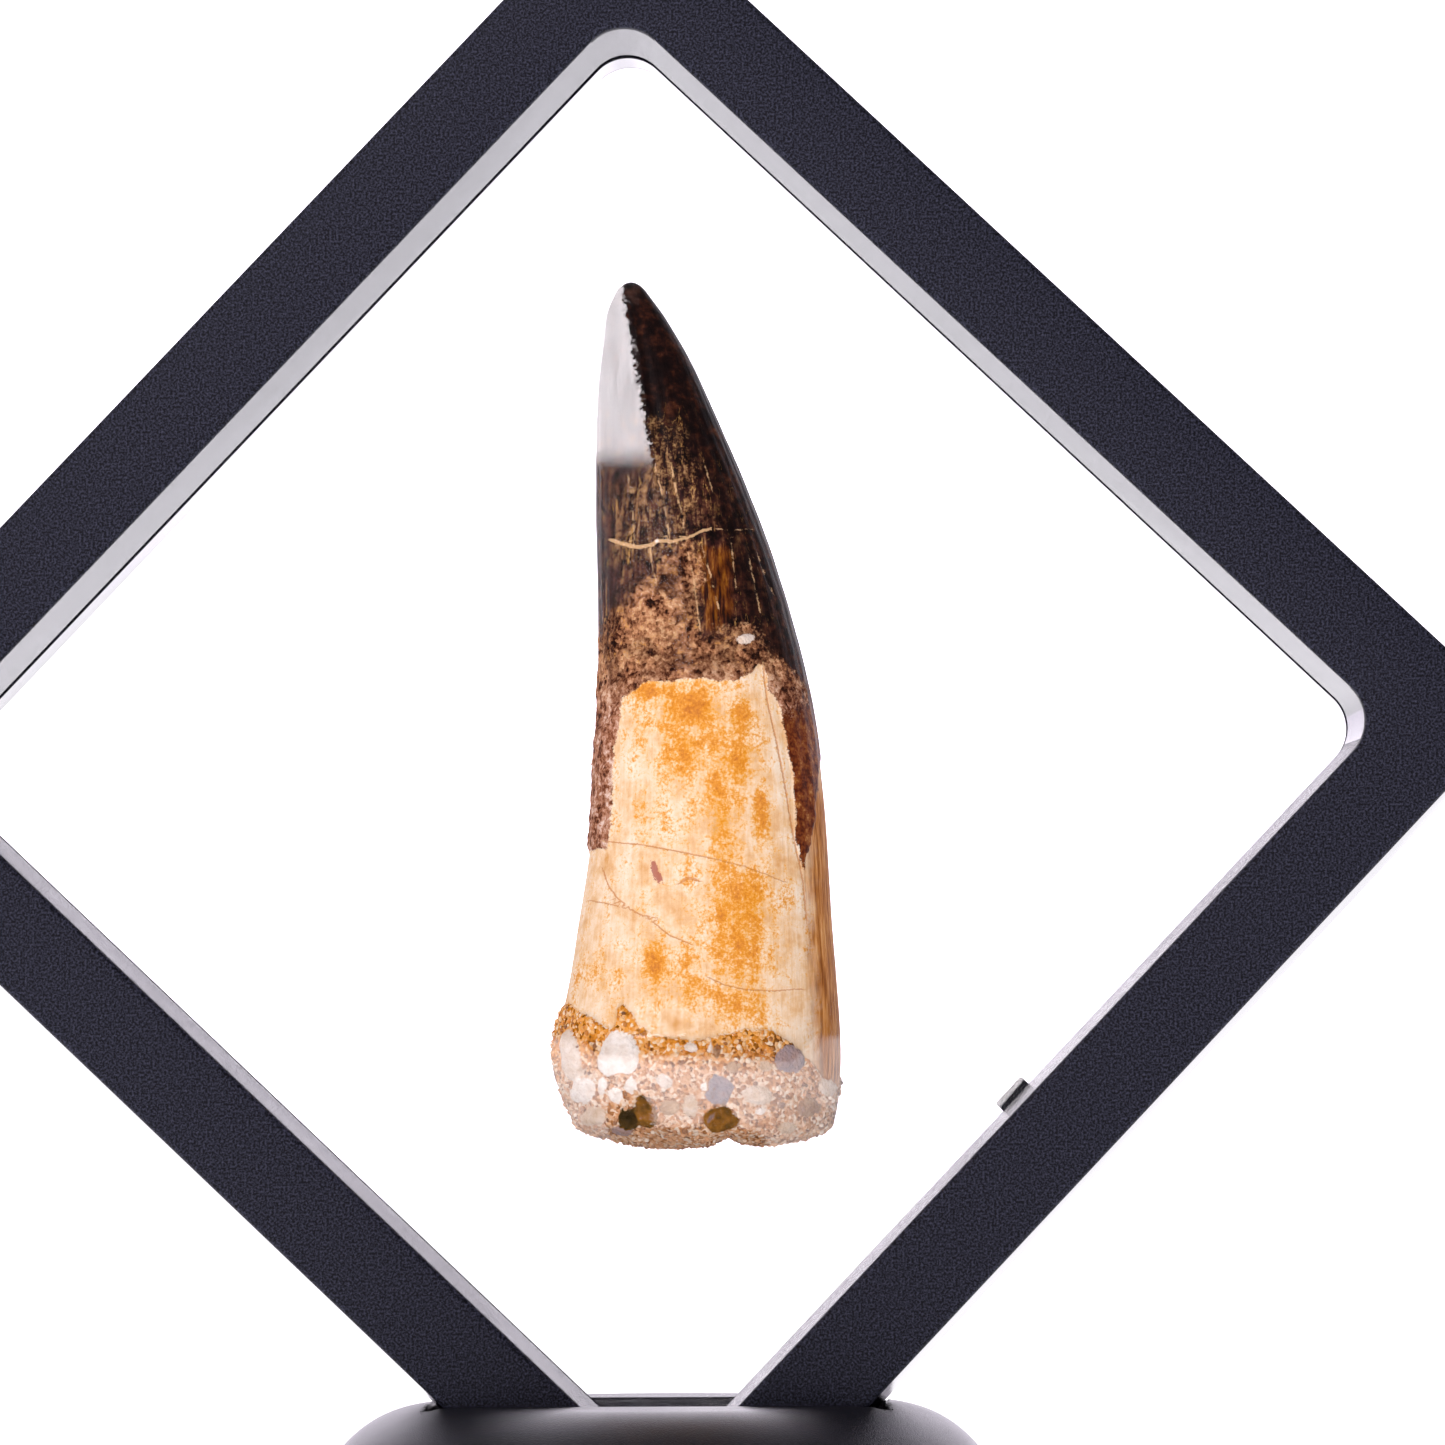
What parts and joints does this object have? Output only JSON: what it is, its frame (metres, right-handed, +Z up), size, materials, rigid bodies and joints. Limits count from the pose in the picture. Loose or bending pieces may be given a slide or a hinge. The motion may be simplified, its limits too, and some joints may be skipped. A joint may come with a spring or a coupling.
{
  "type": "framed spinosaurus tooth",
  "caption": "Fossil tooth with root and grown-on stone, held between clear stretched films in a square black case that stands on one corner in a round slotted base.",
  "frame": {"origin": "middle of the round base's underside, on the surface that it stands on", "axes": "+Z up, -Y towards the viewer that faces the case, +X to the viewer's right"},
  "size_m": [0.1514, 0.061, 0.1546],
  "materials": {
    "fossil": "weathered enamel, bone-like root and sandy matrix",
    "case_plastic": "spark-eroded moulded black",
    "clear_film": "clear glossy stretched film",
    "stand_plastic": "fine-grained moulded black"
  },
  "bodies": {
    "root": {"tooth": "fossil", "front_frame": "case_plastic", "rear_frame": "case_plastic", "front_film": "clear_film", "rear_film": "clear_film", "stand": "stand_plastic"}
  },
  "joints": []
}
